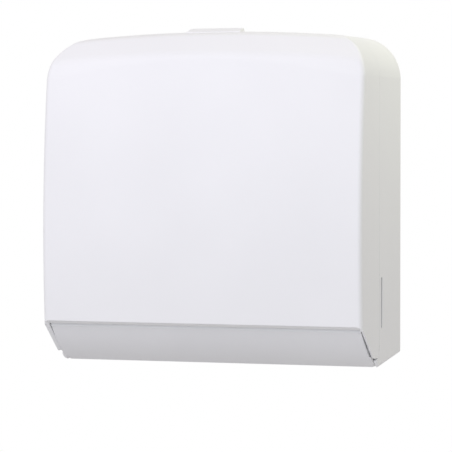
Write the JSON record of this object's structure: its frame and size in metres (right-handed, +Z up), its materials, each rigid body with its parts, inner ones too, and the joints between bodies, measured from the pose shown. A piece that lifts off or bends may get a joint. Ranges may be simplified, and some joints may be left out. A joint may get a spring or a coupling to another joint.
{
  "type": "folded towel dispenser",
  "caption": "Wall-mounted folded paper towel dispenser with a bowed front cover that swings down on hinge pins, a curved chin, a throat underneath and a cam lock in the top.",
  "frame": {"origin": "centre of the four wall screw holes, on the wall face of the back shell", "axes": "+X along the wall to the user's right, +Y into the wall, +Z up"},
  "size_m": [0.27, 0.1012, 0.268],
  "materials": {
    "shell": "satin moulded ABS",
    "tray": "fine matt texture",
    "steel": "zinc plated",
    "lock": "nickel plated"
  },
  "bodies": {
    "base": {"back_shell": "shell", "towel_tray": "tray", "hinge_pin_left": "steel", "hinge_pin_right": "steel", "tray_screws": "steel", "catch_springs": "steel", "catch_screws": "steel", "lock_body": "lock", "lock_nut": "lock"},
    "cover": {"front_cover": "shell"},
    "lock": {"lock_plug": "lock", "lock_cam": "steel", "cam_screw": "steel"}
  },
  "joints": [
    {"name": "cover_hinge", "type": "hinge", "parent": "base", "child": "cover", "pos_m": [0, -0.0675, -0.118], "axis": [1, 0, 0], "range_deg": [0, 80], "deforming": ["catch_springs"]},
    {"name": "lock_turn", "type": "hinge", "parent": "base", "child": "lock", "pos_m": [0, -0.038, 0.1165], "axis": [0, 0, 1], "range_deg": [0, 90]}
  ]
}
